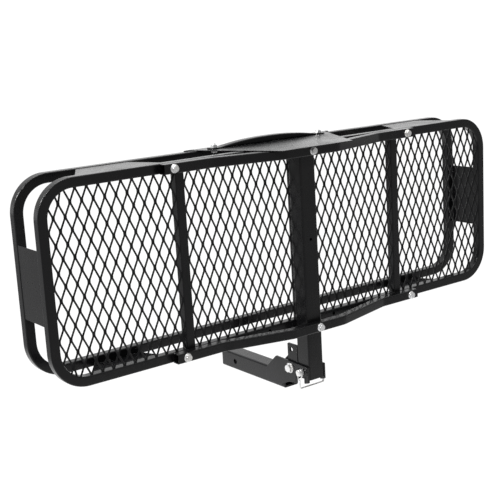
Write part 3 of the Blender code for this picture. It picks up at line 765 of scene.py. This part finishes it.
bailLow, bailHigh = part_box("pin_bail")
hang = Vector((joints["bail_swing"]["pos_m"][0], lockAxis.y, lockAxis.z))
reach = bailHigh.x - bailLook["radius"] - hang.x
wireR, drop = bailLook["radius"], bailLook["drop"]
ears = headR + wireR + 0.0003
loop = [Vector((0, ears, 0.0)), Vector((0, ears, -0.006)), Vector((0, wireR * 1.05, -0.024)),
        Vector((0, wireR * 1.05, -drop)), Vector((reach, wireR * 1.05, -drop)),
        Vector((reach, wireR * 1.05, -pinR - wireR - 0.002)),
        Vector((reach, -wireR * 1.05, -pinR - wireR - 0.002)),
        Vector((reach, -wireR * 1.05, -drop)), Vector((0, -wireR * 1.05, -drop)),
        Vector((0, -wireR * 1.05, -0.024)), Vector((0, -ears, -0.006)), Vector((0, -ears, 0.0))]
wire("pinBail", [hang + p for p in loop], wireR, "pin_bail", ["pin_bail"], bend=0.0045)
for turn in (-1, 1):
    outer, inner = Vector((0, turn * ears, 0.0005)), Vector((0, turn * headR * 0.8, 0.0))
    wire("bailEnd" + str(turn), [hang + outer, hang + inner], wireR * 0.98, "pin_bail", bend=0)
print("fasteners ready")


frameWelds = Welds("frameWelds", "basket")
half = railSize / 2
for side, sign in sides:
    for up in (-1, 1):
        z = midZ + up * (railZ - half)
        low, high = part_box("crossbar_" + side)
        for x in (low.x + 0.0004, high.x - 0.0004):
            frameWelds.bead(Vector((x, low.y + 0.004, z)), Vector((x, high.y - 0.004, z)))
        frameWelds.bead(Vector((low.x + 0.004, high.y, z)), Vector((high.x - 0.004, high.y, z)))
    low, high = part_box("end_plate_" + side)
    x = low.x if sign > 0 else high.x
    for y in (low.y, high.y):
        for z0 in (low.z + 0.004, midZ - 0.02, high.z - 0.044):
            frameWelds.bead(Vector((x, y, z0)), Vector((x, y, z0 + 0.04)), 0.8)
    for edge, up in edges:
        low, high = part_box("side_plate_" + edge + "_" + side)
        z = low.z if up > 0 else high.z
        near, far = (low.x, high.x) if sign > 0 else (high.x, low.x)
        for y, a, b in ((low.y, 0.04, 0.20), (low.y, 0.45, 0.60), (low.y, 0.82, 0.96),
                        (high.y, 0.24, 0.38), (high.y, 0.60, 0.74)):
            start, end = near + (far - near) * a, near + (far - near) * b
            frameWelds.bead(Vector((start, y, z)), Vector((end, y, z)), 0.8)
low, high = plateLow, plateHigh
for a, b in ((-0.255, -0.215), (-0.12, -0.07), (0.07, 0.12), (0.215, 0.255)):
    frameWelds.bead(Vector((a, high.y, low.z)), Vector((b, high.y, low.z)), 0.8)
slope = (wide - narrow) / (high.y - low.y)
for sign in (-1, 1):
    for y in (floorY + 0.004, rimY - half):
        x = narrow + slope * (y - low.y)
        start = Vector((sign * x, y, low.z))
        frameWelds.bead(start, start + Vector((sign * slope, 1, 0)) * 0.018, 0.8)
for sign in (-1, 1):
    x = sign * (earHigh.x - 0.0012)
    frameWelds.bead(Vector((x, earLow.y, earLow.z + 0.004)), Vector((x, earLow.y, earHigh.z - 0.002)), 0.9)
frameWelds.bead(Vector((-0.020, earLow.y + 0.001, earHigh.z)), Vector((0.020, earLow.y + 0.001, earHigh.z)))
frameWelds.done()

shankWelds = Welds("shankWelds", "shank")
for sign in (-1, 1):
    x = sign * (shankHigh.x - 0.0002)
    front, rear, top, inset = clevisHigh.y, shankLow.y + 0.006, shankHigh.z - 0.001, sign * 0.0245
    shankWelds.bead(Vector((x, front, clevisLow.z + 0.001)), Vector((x, front, shankHigh.z - 0.006)), 1.15)
    shankWelds.bead(Vector((x, front - 0.002, clevisLow.z)), Vector((x, rear, clevisLow.z)), 1.1)
    shankWelds.bead(Vector((inset, front - 0.006, top)), Vector((inset, rear, top)), 0.9)
shankWelds.done()
print("welds ready")


floorSize = 9.0
corners = [(x * floorSize, y * floorSize, 0) for x, y in ((-1, -1), (1, -1), (1, 1), (-1, 1))]
floorMesh = plainMesh("floor", corners, [(0, 1, 2, 3)])
floor = bpy.data.objects.new("floor", floorMesh)
floor.location.z = -0.42
# the floor's brightness is painted glow from its emission, not its own colour
floorMesh.materials.append(glowFloor("floor with painted light pool"))
bpy.context.scene.collection.objects.link(floor)

world = bpy.data.worlds.new("studio")
world.use_nodes = True
tree = world.node_tree
sky = tree.nodes["Background"]


def skyNode(kind, settings, values):
    made = tree.nodes.new(kind)
    for key, value in settings.items():
        setattr(made, key, value)
    for place, value in values.items():
        if isinstance(value, bpy.types.NodeSocket):
            tree.links.new(value, made.inputs[place])
        else:
            made.inputs[place].default_value = value
    return made


direction = skyNode("ShaderNodeTexCoord", {}, {}).outputs["Generated"]
ahead = skyNode("ShaderNodeVectorMath", {"operation": "DOT_PRODUCT"}, {0: direction, 1: stageLook["ahead"]})
height = skyNode("ShaderNodeSeparateXYZ", {}, {0: direction}).outputs[2]
back = skyNode("ShaderNodeMapRange", {"interpolation_type": "SMOOTHSTEP"},
               {0: ahead.outputs[1], 1: 0.0, 2: 0.9, 3: stageLook["frontSky"], 4: stageLook["backSky"]})
over = skyNode("ShaderNodeMapRange", {"interpolation_type": "SMOOTHSTEP"},
               {0: height, 1: 0.04, 2: 0.20, 3: 1.0, 4: stageLook["overBack"]})
band = skyNode("ShaderNodeMath", {"operation": "MULTIPLY"}, {0: back.outputs[0], 1: over.outputs[0]})
high = skyNode("ShaderNodeMapRange", {"interpolation_type": "SMOOTHSTEP"}, {0: height, 1: 0.35, 2: 0.85})
shade = skyNode("ShaderNodeMix", {"data_type": "FLOAT"},
                {0: high.outputs[0], 2: band.outputs[0], 3: stageLook["topSky"]})
tree.links.new(shade.outputs[0], sky.inputs[0])
bpy.context.scene.world = world
bpy.context.scene.view_settings.view_transform = "Standard"


def softLight(name, place, target, power, size):
    data = bpy.data.lights.new(name, "AREA")
    data.energy, data.shape, data.size = power, "SQUARE", size
    light = bpy.data.objects.new(name, data)
    light.location = place
    light.rotation_euler = (Vector(target) - Vector(place)).to_track_quat("-Z", "Y").to_euler()
    bpy.context.scene.collection.objects.link(light)


softLight("leftWindow", (-3.0, 1.0, 2.4), (0, -0.2, 0.3), 110, 0.8)
softLight("overhead", (-0.4, 0.2, 3.4), (0, -0.2, 0.3), 60, 1.6)
softLight("front", (-1.9, -2.2, 2.8), (0, -0.2, 0.3), 32, 0.5)

cameraData = bpy.data.cameras.new("camera")
cameraData.lens = cameraLook["lens"]
cameraData.clip_end = 60
camera = bpy.data.objects.new("camera", cameraData)
ahead = Vector(cameraLook["ahead"]).normalized()
upward = Vector(cameraLook["right"]).cross(ahead).normalized()
right = ahead.cross(upward)
camera.matrix_world = Matrix.Translation(cameraLook["place"]) @ \
    Matrix((right, upward, -ahead)).transposed().to_4x4()
bpy.context.scene.collection.objects.link(camera)
bpy.context.scene.camera = camera
